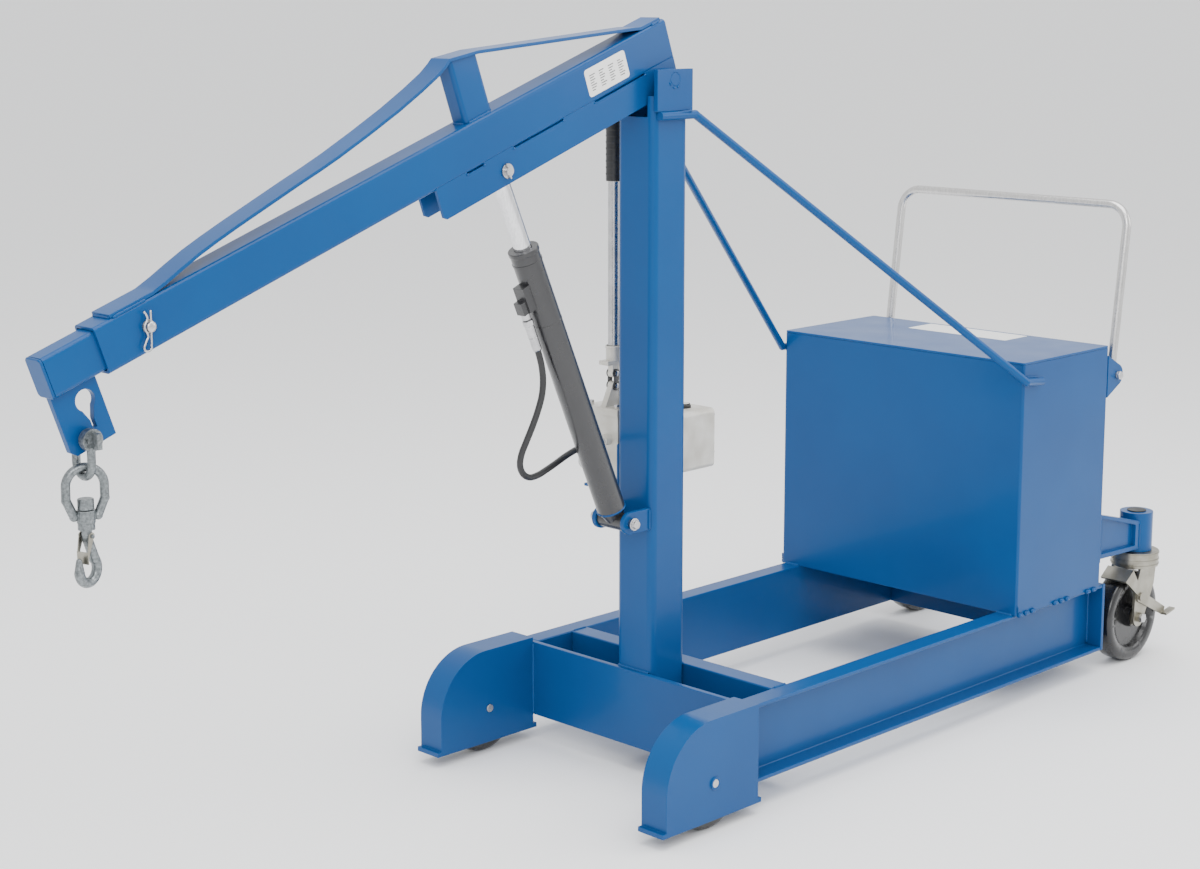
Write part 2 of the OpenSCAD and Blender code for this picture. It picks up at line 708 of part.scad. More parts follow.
// Hook: shank, collar, a back leg, a round belly and a tip
belly_r = 20;
hook_bar = 8;
hook_z = boss_bot - 73;
back_a = 40;
tip_h = 18;
hook_turn = 18;
latch_x = -1;
latch_z = boss_bot - 20;
module on_hook() on_lug() rotate([0, 0, hook_turn]) children();
module hook() color("#9fa3a5") on_hook() {
    rod_z([0, 0, boss_bot - 12], shank_r, boss_top - boss_bot + nut_h + 11);
    rod_z([0, 0, boss_bot - 10.5], 13, 10);
    rod_z([0, 0, boss_bot - 28], shank_r, 18);
    bar([0, 0, boss_bot - 24],
        [belly_r * cos(back_a), 0, hook_z + belly_r * sin(back_a)], hook_bar);
    translate([0, 0, hook_z]) rotate([90, 0, 0]) rotate([0, 0, -180])
        rotate_extrude(angle = 180 + back_a, $fn = 64)
            translate([belly_r, 0]) circle(r = hook_bar, $fn = 32);
    translate([belly_r * cos(back_a), 0, hook_z + belly_r * sin(back_a)])
        sphere(r = hook_bar + 0.4, $fn = 32);
    translate([-belly_r, 0, hook_z - 0.5])
        cylinder(r1 = hook_bar - 0.2, r2 = 4.5, h = tip_h + 0.5, $fn = 32);
    translate([-belly_r, 0, hook_z + tip_h - 1]) sphere(r = 4.7, $fn = 32);
    rod_y([latch_x, -13.5, latch_z], 3, 27);
}

// Sheet latch: two cheeks on the shank's sides and a tongue that shuts on the tip
latch_in = 9;
latch_out = 10.6;
module safety_latch() color("#b5b3a6") on_hook() difference() {
    union() {
        for (s = [-1, 1]) plate_xz(s > 0 ? latch_in : -latch_out, s > 0 ? latch_out : -latch_in) {
            translate([latch_x, latch_z]) circle(r = 6, $fn = 32);
            polygon([
                [latch_x + 3, latch_z - 5], [latch_x - 6, latch_z],
                [-11.4, hook_z + 28], [-9.8, hook_z + 20]
            ]);
        }
        plate_xz(-latch_out, latch_out) polygon([
            [-12, hook_z + 30], [-10.4, hook_z + 30], [-9.6, hook_z + 11], [-11.2, hook_z + 11]
        ]);
    }
    rod_y([latch_x, -20, latch_z], 3 + e, 40);
}

// ---------------------------------------------------------------- ram

module ram_barrel() color("#1d1e20") on_ram() difference() {
    union() {
        rod_z([0, 0, barrel_bot], barrel_d / 2, barrel_top - barrel_bot);
        translate([0, 0, 4]) cylinder(r1 = 17, r2 = barrel_d / 2, h = 22, $fn = 64);
        rod_y([0, -ear_in + 0.4, 0], 17, 2 * ear_in - 0.8);
    }
    rod_z([0, 0, barrel_bot + 12], barrel_d / 2 - barrel_wall, barrel_top);
    rod_y([0, -60, 0], pin_r + e, 120);
}
module ram_gland() color("#2b2c2e") on_ram() difference() {
    union() {
        rod_z([0, 0, barrel_top - 40], barrel_d / 2 - barrel_wall, 40);
        rod_z([0, 0, barrel_top], barrel_d / 2 + 1.5, 9);
    }
    rod_z([0, 0, barrel_top - 60], rod_d / 2 + e, 90);
}

// Port block on the barrel's front, with its fitting pointing down the ram
port_z = 497;
module ram_port() color("#1d1e20") on_ram() difference() {
    union() {
        translate([-barrel_d / 2 - 14, -13, port_z - 24]) cube([18, 26, 48]);
        translate([-barrel_d / 2 - 26, -10, port_z - 24]) cube([16, 20, 24]);
        rod_z([-barrel_d / 2 - 16, 0, port_z - 72], 8, 50);
    }
    rod_z([0, 0, barrel_bot], barrel_d / 2, barrel_top);
}

// Rod with a slotted eye on top, and the piston below
rod_bot = 150;
eye_slot = 17;
module ram_rod() color("silver") on_ram() difference() {
    union() {
        rod_z([0, 0, rod_bot], rod_d / 2, ram_len - rod_bot - 24);
        translate([0, 13, ram_len]) rotate([90, 0, 0]) linear_extrude(26) {
            for (s = [-1, 1]) translate([s * eye_slot, 0]) circle(r = 16.5, $fn = 48);
            translate([-eye_slot, -16.5]) square([2 * eye_slot, 33]);
            translate([-14, -26]) square([28, 20]);
        }
    }
    for (s = [-1, 1]) rod_y([s * eye_slot, -30, ram_len], pin_r + 4.5, 60);
    translate([-eye_slot, -30, ram_len - pin_r - 4.5]) cube([2 * eye_slot, 60, 2 * pin_r + 9]);
}
module ram_piston() color("silver") on_ram()
    rod_z([0, 0, rod_bot - 26], barrel_d / 2 - barrel_wall - e, 26);

// ---------------------------------------------------------------- pump

module pump_bracket() color("#0a5fa8") on_mast() {
    translate([-40, mast_half, 500]) cube([80, 6, 130]);
    translate([-40, mast_half + 6, 535]) cube([80, 88, 6]);
}
module pump_head() color("#a9aaa6") on_mast() difference() {
    union() {
        translate([-30, 60, 541]) cube([66, 84, head_top - 541 - 14]);
        translate([-34, 57, head_top - 14]) cube([74, 90, 14]);
        translate([throw_x, pump_y, head_top]) cylinder(r = 15, h = 16, $fn = 48);
        plate_xz(pump_y - 6.5, pump_y + 6.5) {
            translate([fulcrum_x, link_z]) circle(r = 8.5, $fn = 32);
            polygon([
                [-30, head_top - 2], [fulcrum_x + 8.5, head_top - 2],
                [fulcrum_x + 8.5, link_z], [fulcrum_x - 8, link_z]
            ]);
        }
        for (p = [[-24, 68], [-24, 136], [30, 68], [30, 136]])
            rod_z([p[0], p[1], head_top], 5, 5);
        rod_x([-46, 84, 634], 11, 18);
        rod_x([-58, 84, 634], 8, 14);
    }
    rod_z([throw_x, pump_y, 600], 8 + e, 200);
    rod_y([fulcrum_x, 60, link_z], lever_pin, 80);
    rod_x([-36, 118, 590], 6 + e, 36);
}
module pump_tank() color("#c9c7bf") on_mast() {
    translate([36, 58 + 45, 541 + 60]) rotate([90, 0, 90]) linear_extrude(209)
        round_rect(90, 120, 10);
    rod_z([205, 103, 661], 9, 9);
}
module fulcrum_links() color("#26272a") on_mast() {
    for (y = [pump_y - 9.5, pump_y + 7]) plate_xz(y, y + 2.5) {
        for (z = [link_z, fulcrum_z]) translate([fulcrum_x, z]) circle(r = 9, $fn = 32);
        translate([fulcrum_x - 5.5, link_z]) square([11, fulcrum_z - link_z]);
    }
    for (z = [link_z, fulcrum_z]) rod_y([fulcrum_x, pump_y - 12, z], lever_pin, 24);
}
module release_valve() color("silver") on_mast() {
    rod_x([-54, 118, 590], 6, 44);
    rod_x([-66, 118, 590], 13, 12);
}

// Cast beam with a plain eye and a fork, and the lever tube with its grip
module pump_handle() color("silver") on_mast() difference() {
    union() {
        plate_xz(pump_y - 6.5, pump_y + 6.5) {
            translate([fulcrum_x, fulcrum_z]) circle(r = 8.5, $fn = 32);
            translate([fulcrum_x - 7, fulcrum_z]) square([14, 24]);
        }
        for (y = [pump_y - 10.5, pump_y + 5.5]) plate_xz(y, y + 5) {
            translate([throw_x, throw_z]) circle(r = 8, $fn = 32);
            polygon([
                [throw_x - 8, throw_z], [throw_x + 8, throw_z],
                [throw_x + 4, fulcrum_z + 24], [throw_x - 8, fulcrum_z + 24]
            ]);
        }
        translate([fulcrum_x - 26, pump_y - 12, fulcrum_z + 18]) cube([53, 24, 8]);
        rod_z([fulcrum_x + 2, pump_y, fulcrum_z + 24], 15, 30);
        rod_z([fulcrum_x + 2, pump_y, fulcrum_z + 30], 11, grip_top - fulcrum_z - 36);
        rod_z([fulcrum_x + 2, pump_y, grip_top - 145], 14.5, 145);
        rod_y([throw_x, pump_y - 12, throw_z], lever_pin, 24);
    }
    rod_y([fulcrum_x, 60, fulcrum_z], lever_pin + e, 80);
    rod_z([fulcrum_x + 2, pump_y, fulcrum_z + 60], 9, grip_top - fulcrum_z - 66);
}
module pump_plunger() color("silver") on_mast() difference() {
    union() {
        rod_z([throw_x, pump_y, 606], 8, 122);
        plate_xz(pump_y - 4.8, pump_y + 4.8) {
            translate([throw_x - 8.5, throw_z - 22]) square([17, 22]);
            for (s = [-1, 1]) translate([throw_x + s * 2.5, throw_z]) circle(r = 8, $fn = 32);
        }
    }
    for (s = [-1, 1]) rod_y([throw_x + s * 2.5, 60, throw_z], 5.2, 80);
    translate([throw_x - 2.5, 60, throw_z - 5.2]) cube([5, 80, 10.4]);
}

// ---------------------------------------------------------------- hose

// Catmull-Rom curve through the route's points
function spline_at(p, i, t) = let (a = p[max(i - 1, 0)], b = p[i], c = p[i + 1],
    d = p[min(i + 2, len(p) - 1)])
    0.5 * (2 * b + (c - a) * t + (2 * a - 5 * b + 4 * c - d) * t * t
        + (3 * b - a - 3 * c + d) * t * t * t);
hose_line = [for (i = [0:len(hose_path) - 2], k = [0:1]) spline_at(hose_path, i, k / 2)];
hose_pts = concat(hose_line, [hose_path[len(hose_path) - 1]]);
function unit(v) = v / norm(v);
function hose_dir(i) = unit(hose_pts[min(i + 1, len(hose_pts) - 1)] - hose_pts[max(i - 1, 0)]);
hose_sides = 10;
module hose() color("#1d1e20") on_mast() {
    n = len(hose_pts);
    pts = [for (i = [0:n - 1]) let (d = hose_dir(i), a = unit(cross(d, [0, 1, 0.01])),
        b = cross(d, a)) for (k = [0:hose_sides - 1])
            hose_pts[i] + hose_r * (a * cos(360 * k / hose_sides) + b * sin(360 * k / hose_sides))];
    walls = [for (i = [0:n - 2], k = [0:hose_sides - 1]) let (k1 = (k + 1) % hose_sides)
        [i * hose_sides + k, i * hose_sides + k1, (i + 1) * hose_sides + k1,
            (i + 1) * hose_sides + k]];
    polyhedron(concat(pts), concat([[for (k = [hose_sides - 1:-1:0]) k]], walls,
        [[for (k = [0:hose_sides - 1]) (n - 1) * hose_sides + k]]));
}

left_rail();
right_rail();
front_plate();
rear_crossbeam();
rear_plate();
mast();
mast_cheeks();
ram_ears();
left_wheel_housing();
right_wheel_housing();
counterweight_box();
counterweight_lid();
ballast_slabs();
tie_bars();
left_caster_arm();
right_caster_arm();
socket_plugs();
handle_ears();
handle_pins();
boom_pivot_pin();
ram_foot_pin();
front_axles();
left_front_wheel();
right_front_wheel();
left_caster_fork();
right_caster_fork();
left_caster_wheel();
right_caster_wheel();
left_caster_brake();
right_caster_brake();
push_handle();
boom_tube();
boom_channel();
king_post();
truss_strap();
pivot_sleeve();
ram_head_pin();
hitch_pin();
extension_tube();
extension_cap();
hook_plate();
shackle();
shackle_pin();
swivel_eye();
hook();
swivel_nut();
safety_latch();
ram_barrel();
ram_gland();
ram_port();
ram_rod();
ram_piston();
pump_bracket();
pump_head();
pump_tank();
fulcrum_links();
release_valve();
pump_handle();
pump_plunger();
hose();
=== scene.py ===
"""Looks of a blue counterbalanced floor crane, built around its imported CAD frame.

The crane's own frame has its origin on the floor under the mast, in millimetres: -X is
forward, -Y the crane's left and +Z up. at() turns it into the row frame, in metres.
"""
import json
import math

import bmesh
import bpy
from mathutils import Matrix, Vector


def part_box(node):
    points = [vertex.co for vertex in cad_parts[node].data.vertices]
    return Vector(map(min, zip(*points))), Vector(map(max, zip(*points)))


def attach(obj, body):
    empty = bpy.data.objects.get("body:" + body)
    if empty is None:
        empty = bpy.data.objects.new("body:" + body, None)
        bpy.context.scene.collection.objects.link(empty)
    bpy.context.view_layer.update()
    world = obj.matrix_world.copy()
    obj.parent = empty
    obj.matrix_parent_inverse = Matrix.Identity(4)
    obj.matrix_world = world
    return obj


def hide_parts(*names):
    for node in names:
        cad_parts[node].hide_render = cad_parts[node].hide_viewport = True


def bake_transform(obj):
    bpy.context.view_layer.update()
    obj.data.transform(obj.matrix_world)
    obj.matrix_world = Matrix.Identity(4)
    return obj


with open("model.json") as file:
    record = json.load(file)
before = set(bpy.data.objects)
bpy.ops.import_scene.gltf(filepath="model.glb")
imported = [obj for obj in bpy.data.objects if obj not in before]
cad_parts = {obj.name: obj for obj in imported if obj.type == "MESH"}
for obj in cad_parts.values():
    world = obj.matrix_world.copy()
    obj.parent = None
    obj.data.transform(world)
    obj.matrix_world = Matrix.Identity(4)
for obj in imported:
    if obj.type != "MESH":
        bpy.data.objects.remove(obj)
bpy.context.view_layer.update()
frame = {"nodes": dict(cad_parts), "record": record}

MM = 0.001
mast_lo, mast_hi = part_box("mast")
MAST_X = (mast_lo.x + mast_hi.x) / 2
BOOM_SLOPE = math.radians(19.7)
PIVOT_Z = 1320.5
RAM_LEAN = math.radians(23.715)
FOOT = (-98, 501)
BOOM_HALF = 27.3
TUBE_TOP, TUBE_BOT = 102, 25.4
TUBE_MID = (TUBE_TOP + TUBE_BOT) / 2
RAIL_TOP = 199
BOX_X0, BOX_REAR, BOX_HALF, BOX_TOP = 770, 1089, 316, 732
MAST_HALF = 47.5
CHEEK_OUT = 57
HOUSE_INNER_Y = 266
KING = (1279, 286)
SOCKET_R = 36.5
CASTER_AXLE = (1244, 101.5)
HANDLE_HINGE = (1125, 664)
HITCH_U = -1178
POST_U = (-473, -408)
SEAM_GAPS = ((-506, -465), (-391, -264), (-180, -44))
BARREL_BOTTOM = 26
PUMP_Y = 100
LEVER_X = 0


def at(x, y, z):
    """A point of the crane's frame in millimetres, as a point of the row frame in metres."""
    return Vector((MAST_X + x * MM, y * MM, z * MM))


def on_boom(u, y, v):
    """u rearward along the boom and v square to it, from the pivot."""
    c, s = math.cos(BOOM_SLOPE), math.sin(BOOM_SLOPE)
    return at(u * c - v * s, y, PIVOT_Z + u * s + v * c)


def on_ram(x, y, z):
    """z along the ram from its foot pin, x towards the mast."""
    c, s = math.cos(RAM_LEAN), math.sin(RAM_LEAN)
    return at(FOOT[0] + x * c - z * s, y, FOOT[1] + x * s + z * c)


# ------------------------------------------------------------------ camera

AZIMUTH, ELEVATION = math.radians(-45.298), math.radians(9.705)
back = Vector((math.sin(AZIMUTH) * math.cos(ELEVATION),
               -math.cos(AZIMUTH) * math.cos(ELEVATION), math.sin(ELEVATION)))
camera_data = bpy.data.cameras.new("camera")
camera_data.sensor_width = 36
camera_data.lens = 66.04
camera_data.shift_y = -0.0569
camera = bpy.data.objects.new("camera", camera_data)
camera.location = at(-2976.96, -2809.09, 1481.6)
camera.rotation_mode = "QUATERNION"
camera.rotation_quaternion = (-back).to_track_quat("-Z", "Y")
bpy.context.scene.collection.objects.link(camera)
bpy.context.scene.camera = camera


# ------------------------------------------------------------------ materials

def new_material(name, base, roughness, metallic=0.0):
    """A Principled material; returns it with its node tree and shader."""
    m = bpy.data.materials.new(name)
    m.use_nodes = True
    shader = m.node_tree.nodes["Principled BSDF"]
    shader.inputs["Base Color"].default_value = (*base, 1)
    shader.inputs["Roughness"].default_value = roughness
    shader.inputs["Metallic"].default_value = metallic
    return m, m.node_tree, shader


def noise(tree, scale, detail=3.0, stretch=None):
    """Noise over the object's own coordinates, stretched by three factors if given."""
    place = tree.nodes.new("ShaderNodeTexCoord")
    tex = tree.nodes.new("ShaderNodeTexNoise")
    tex.inputs["Scale"].default_value = scale
    tex.inputs["Detail"].default_value = detail
    out = place.outputs["Object"]
    if stretch:
        mapping = tree.nodes.new("ShaderNodeMapping")
        mapping.inputs["Scale"].default_value = stretch
        tree.links.new(out, mapping.inputs["Vector"])
        out = mapping.outputs["Vector"]
    tree.links.new(out, tex.inputs["Vector"])
    return tex.outputs["Fac"]


def spread(tree, fac, low, high, socket, start=0.3, end=0.7):
    """Maps a factor onto a range of values and links it to a shader's socket."""
    node = tree.nodes.new("ShaderNodeMapRange")
    node.inputs["From Min"].default_value = start
    node.inputs["From Max"].default_value = end
    node.inputs["To Min"].default_value = low
    node.inputs["To Max"].default_value = high
    tree.links.new(fac, node.inputs["Value"])
    tree.links.new(node.outputs["Result"], socket)


def tint(tree, fac, a, b, socket, start=0.35, end=0.65):
    """Blends two colours by a factor and links them to a shader's socket."""
    ramp = tree.nodes.new("ShaderNodeValToRGB")
    ramp.color_ramp.elements[0].position = start
    ramp.color_ramp.elements[1].position = end
    ramp.color_ramp.elements[0].color = (*a, 1)
    ramp.color_ramp.elements[1].color = (*b, 1)
    tree.links.new(fac, ramp.inputs["Fac"])
    tree.links.new(ramp.outputs["Color"], socket)


def bump(tree, fac, strength, distance, shader):
    node = tree.nodes.new("ShaderNodeBump")
    node.inputs["Strength"].default_value = strength
    node.inputs["Distance"].default_value = distance
    tree.links.new(fac, node.inputs["Height"])
    tree.links.new(node.outputs["Normal"], shader.inputs["Normal"])


def blue_paint():
    m, t, s = new_material("blue_paint", (0.0, 0.056, 0.2), 0.3)
    s.inputs["Specular IOR Level"].default_value = 0.2
    s.inputs["Coat Weight"].default_value = 0.2
    s.inputs["Coat IOR"].default_value = 1.3
    s.inputs["Coat Roughness"].default_value = 0.08
    tint(t, noise(t, 5, 4), (0.0, 0.053, 0.192), (0.0, 0.059, 0.208), s.inputs["Base Color"])
    spread(t, noise(t, 12, 3), 0.31, 0.37, s.inputs["Roughness"])
    bump(t, noise(t, 420, 2), 0.05, 0.0004, s)
    return m


def black_paint():
    m, t, s = new_material("black_paint", (0.012, 0.012, 0.014), 0.28)
    s.inputs["Coat Weight"].default_value = 0.5
    s.inputs["Coat Roughness"].default_value = 0.08
    spread(t, noise(t, 40, 4), 0.22, 0.42, s.inputs["Roughness"])
    bump(t, noise(t, 300, 3), 0.12, 0.0006, s)
    return m


def metal(name, base, low, high, scale, grain=None, relief=0.15):
    """Bare or plated metal with uneven gloss; grain stretches it into brush marks."""
    m, t, s = new_material(name, base, (low + high) / 2, 1.0)
    fac = noise(t, scale, 5, grain)
    spread(t, fac, low, high, s.inputs["Roughness"])
    dark = tuple(0.82 * c for c in base)
    tint(t, noise(t, scale * 0.3, 3, grain), dark, base, s.inputs["Base Color"])
    bump(t, fac, relief, 0.0004, s)
    return m


def zinc_plate():
    m, t, s = new_material("zinc", (0.42, 0.4, 0.34), 0.36, 0.9)
    tint(t, noise(t, 35, 4), (0.27, 0.255, 0.21), (0.36, 0.345, 0.295), s.inputs["Base Color"])
    spread(t, noise(t, 60, 3), 0.28, 0.42, s.inputs["Roughness"])
    bump(t, noise(t, 500, 2), 0.08, 0.0004, s)
    return m


def galvanised():
    m, t, s = new_material("galvanised", (0.3, 0.33, 0.34), 0.45, 0.85)
    tint(t, noise(t, 240, 4), (0.14, 0.155, 0.16), (0.25, 0.27, 0.28), s.inputs["Base Color"])
    spread(t, noise(t, 160, 4), 0.26, 0.44, s.inputs["Roughness"])
    bump(t, noise(t, 420, 4), 0.12, 0.0005, s)
    return m


def silver_casting():
    m, t, s = new_material("cast_silver", (0.55, 0.54, 0.5), 0.45, 0.35)
    tint(t, noise(t, 18, 5), (0.50, 0.48, 0.43), (0.66, 0.65, 0.61), s.inputs["Base Color"])
    spread(t, noise(t, 60, 4), 0.34, 0.55, s.inputs["Roughness"])
    bump(t, noise(t, 260, 4), 0.35, 0.0008, s)
    return m


def dark_plastic(name, base, low, high, gloss=0.0, relief=0.1):
    m, t, s = new_material(name, base, (low + high) / 2)
    s.inputs["Coat Weight"].default_value = gloss
    s.inputs["Coat Roughness"].default_value = 0.12
    spread(t, noise(t, 45, 5), low, high, s.inputs["Roughness"])
    bump(t, noise(t, 280, 3), relief, 0.0006, s)
    return m


MAT = {
    "blue_paint": blue_paint(),
    "black_paint": black_paint(),
    "steel": metal("steel", (0.56, 0.56, 0.57), 0.22, 0.36, 120),
    "brushed": metal("brushed", (0.66, 0.65, 0.64), 0.2, 0.36, 40, (30, 30, 1), 0.08),
    "chrome": metal("chrome", (0.82, 0.82, 0.84), 0.06, 0.14, 30, (40, 40, 2), 0.03),
    "zinc": zinc_plate(),
    "galvanised": galvanised(),
    "cast_silver": silver_casting(),
    "caster_tread": dark_plastic("caster_tread", (0.007, 0.007, 0.008), 0.22, 0.3, 0.25, 0.04),
    "black_plastic": dark_plastic("black_plastic", (0.014, 0.014, 0.014), 0.4, 0.55),
    "rubber": dark_plastic("rubber", (0.014, 0.014, 0.015), 0.38, 0.55, 0.0, 0.2),
    "ballast_iron": metal("ballast_iron", (0.09, 0.085, 0.08), 0.6, 0.8, 60),
    "label": dark_plastic("label", (0.80, 0.80, 0.78), 0.35, 0.45, 0.3, 0.03),
    "print": dark_plastic("print", (0.05, 0.05, 0.055), 0.45, 0.5, 0.0, 0.02),
}


# ------------------------------------------------------------------ mesh helpers


def add(name, verts, faces, look, body, smooth=True):
    """A new mesh piece that rides on a body, if one is given, with its finish from a slot."""
    mesh = bpy.data.meshes.new(name)
    mesh.from_pydata([tuple(v) for v in verts], [], faces)
    mesh.materials.append(MAT[look])
    for p in mesh.polygons:
        p.use_smooth = smooth
    piece = bpy.data.objects.new(name, mesh)
    bpy.context.scene.collection.objects.link(piece)
    if body:
        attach(piece, body)
    return piece


def round_edges(piece, width, segments=2, angle=32):
    """Rounds a piece's sharp edges and keeps its flat faces flat."""
    bevel = piece.modifiers.new("round", "BEVEL")
    bevel.width = width * MM
    bevel.segments = segments
    bevel.limit_method = "ANGLE"
    bevel.angle_limit = math.radians(angle)
    bevel.use_clamp_overlap = True
    bevel.miter_outer = "MITER_ARC"
    flat = piece.modifiers.new("flat", "WEIGHTED_NORMAL")
    flat.keep_sharp = True
    flat.weight = 80
    return piece


def finish_node(node, look, width, segments=2):
    """A copy of a CAD node with rounded edges, which is shown in its place."""
    source = frame["nodes"][node]
    mesh = source.data.copy()
    work = bmesh.new()
    work.from_mesh(mesh)
    bmesh.ops.remove_doubles(work, verts=work.verts, dist=1e-5)
    bmesh.ops.dissolve_limit(work, angle_limit=math.radians(0.4), verts=work.verts,
                             edges=work.edges)
    bmesh.ops.recalc_face_normals(work, faces=work.faces)
    work.to_mesh(mesh)
    work.free()
    mesh.materials.clear()
    mesh.materials.append(MAT[look])
    for p in mesh.polygons:
        p.use_smooth = True
    if "sharp_face" in mesh.attributes:
        mesh.attributes.remove(mesh.attributes["sharp_face"])
    piece = bpy.data.objects.new(node + "_finish", mesh)
    bpy.context.scene.collection.objects.link(piece)
    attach(piece, BODY_OF[node])
    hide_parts(node)
    if width:
        round_edges(piece, width, segments)
    else:
        mesh.set_sharp_from_angle(angle=math.radians(35))
    return piece


def sweep(name, path, radius, look, body, sides=20, closed=False):
    """A round bar along a path; radius is a number or one number per point, in mm."""
    n = len(path)
    radii = radius if isinstance(radius, (list, tuple)) else [radius] * n
    verts, faces, side = [], [], None
    for i, p in enumerate(path):
        before = path[(i - 1) % n] if closed or i else p
        after = path[(i + 1) % n] if closed or i < n - 1 else p
        d = (after - before).normalized()
        if side is None:
            side = d.orthogonal().normalized()
        side = (side - side.dot(d) * d).normalized()
        up = d.cross(side)
        for k in range(sides):
            a = 2 * math.pi * k / sides
            verts.append(p + radii[i] * MM * (side * math.cos(a) + up * math.sin(a)))
    for i in range(n if closed else n - 1):
        a, b = i * sides, ((i + 1) % n) * sides
        for k in range(sides):
            k1 = (k + 1) % sides
            faces.append((a + k, a + k1, b + k1, b + k))
    if not closed:
        faces.append(tuple(reversed(range(sides))))
        faces.append(tuple((n - 1) * sides + k for k in range(sides)))
    return add(name, verts, faces, look, body)


def lathe(name, profile, origin, axis, look, body, sides=48):
    """A profile of (radius, height) in mm turned about an axis through a point."""
    axis = Vector(axis).normalized()
    side = axis.orthogonal().normalized()
    up = axis.cross(side)
    verts, faces = [], []
    for r, h in profile:
        for k in range(sides):
            a = 2 * math.pi * k / sides
            ring = side * math.cos(a) + up * math.sin(a)
            verts.append(origin + axis * h * MM + ring * max(r, 0.01) * MM)
    for i in range(len(profile) - 1):
        for k in range(sides):
            k1 = (k + 1) % sides
            faces.append((i * sides + k, i * sides + k1,
                          (i + 1) * sides + k1, (i + 1) * sides + k))
    faces.append(tuple(reversed(range(sides))))
    faces.append(tuple((len(profile) - 1) * sides + k for k in range(sides)))
    piece = add(name, verts, faces, look, body)
    piece.data.set_sharp_from_angle(angle=math.radians(40))
    return piece


def hex_head(name, origin, axis, across, height, look, body):
    """A six-sided bolt head or nut with a chamfered top."""
    r = across / math.sqrt(3)
    piece = lathe(name, [(r, 0), (r, height * 0.85), (r * 0.86, height)], origin, axis,
                  look, body, sides=6)
    return round_edges(piece, 0.4, 1)


def line(a, b, steps):
    return [a.lerp(b, i / steps) for i in range(steps + 1)]


def arc(centre, radius, start, end, steps, across, along):
    """Points of an arc in the plane of two unit vectors; degrees and mm."""
    points = []
    for i in range(steps + 1):
        a = math.radians(start + (end - start) * i / steps)
        points.append(centre + radius * MM * (across * math.cos(a) + along * math.sin(a)))
    return points


bead_count = 0


def bead(path, body, radius=3.0, ripple=5.0):
    """A weld bead: a low bar along a path, rippled once every few millimetres."""
    global bead_count
    bead_count += 1
    dense, radii, run = [path[0]], [0.5 * radius], 0.0
    for a, b in zip(path, path[1:]):
        steps = max(2, int((b - a).length / MM / (ripple / 3)))
        for i in range(1, steps + 1):
            dense.append(a.lerp(b, i / steps))
            run += (b - a).length / MM / steps
            wave = abs(math.sin(math.pi * run / ripple))
            wander = 0.06 * math.sin(run * 0.37 + bead_count)
            radii.append(radius * (0.86 + 0.16 * wave + wander))
    radii[-1] = 0.5 * radius
    return sweep(f"weld_{bead_count:02d}", dense, radii, "blue_paint", body, sides=10)


X, Y, Z = Vector((1, 0, 0)), Vector((0, 1, 0)), Vector((0, 0, 1))
BODY_OF = {node: body for body, nodes in frame["record"]["behaviour"]["bodies"].items()
           for node in nodes}
SLOT_OF = {p["node"]: p["material_slot"] for p in frame["record"]["subparts"]}


# ------------------------------------------------------------------ hose

HOSE_RADIUS = 6
HOSE_PATH = [
    (-308.1, 0, 872.4), (-301.7, 0, 857.7), (-293.5, 0, 838), (-286, 1, 815), (-282, 2, 790),
    (-284, 3, 763), (-292, 5, 736), (-303, 8, 708), (-314, 12, 682), (-322, 17, 658),
    (-321, 22, 636), (-309, 26, 618), (-288, 31, 608), (-262, 36, 608), (-236, 41, 613),
    (-210, 46, 619), (-184, 52, 625), (-158, 58, 630), (-130, 66, 633), (-102, 75, 634),
    (-78, 82, 634), (-58, 84, 634),
]


def smooth_route(points, steps):
    """A Catmull-Rom curve through the points."""
    route = []
    last = len(points) - 1
    for i in range(last):
        a, b = points[max(i - 1, 0)], points[i]
        c, d = points[i + 1], points[min(i + 2, last)]
        for k in range(steps):
            t = k / steps
            route.append(0.5 * (2 * b + (c - a) * t + (2 * a - 5 * b + 4 * c - d) * t * t
                                + (3 * b - a - 3 * c + d) * t ** 3))
    return route + [points[last]]


hose_route = smooth_route([at(*p) for p in HOSE_PATH], 5)
hose = sweep("hose_tube", hose_route, HOSE_RADIUS, "rubber", None, sides=20)
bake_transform(hose)
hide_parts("hose")


# ------------------------------------------------------------------ CAD nodes, finished

ROUNDED = {
    "left_rail": 3, "right_rail": 3, "front_plate": 1.5, "rear_crossbeam": 3, "rear_plate": 1.5,
    "mast": 1, "mast_cheeks": 1.5, "ram_ears": 1.5, "left_wheel_housing": 4,
    "right_wheel_housing": 4, "counterweight_box": 1.5, "counterweight_lid": 1.5,
    "tie_bars": 0, "left_caster_arm": 2, "right_caster_arm": 2, "socket_plugs": 1,
    "handle_ears": 1, "handle_pins": 0.8, "boom_pivot_pin": 1, "ram_foot_pin": 1,
    "front_axles": 1, "left_front_wheel": 0, "right_front_wheel": 0,
    "left_caster_fork": 1, "right_caster_fork": 1, "left_caster_wheel": 0,
    "right_caster_wheel": 0, "left_caster_brake": 0.8, "right_caster_brake": 0.8,
    "push_handle": 0, "boom_tube": 1, "boom_channel": 1, "king_post": 1, "truss_strap": 1,
    "pivot_sleeve": 1, "ram_head_pin": 0.6, "extension_tube": 1,
    "extension_cap": 2, "hook_plate": 1.2, "shackle": 1, "shackle_pin": 1, "swivel_eye": 0,
    "hook": 0, "swivel_nut": 1.5, "safety_latch": 0.3, "ram_barrel": 0.8, "ram_gland": 1.5,
    "ram_port": 1.5, "ram_rod": 1, "pump_bracket": 1.5, "pump_head": 2, "pump_tank": 5,
    "fulcrum_links": 0.6, "release_valve": 1.2, "pump_handle": 1,
}
for node, width in ROUNDED.items():
    finish_node(node, SLOT_OF[node], width, 3 if width > 2 else 2)
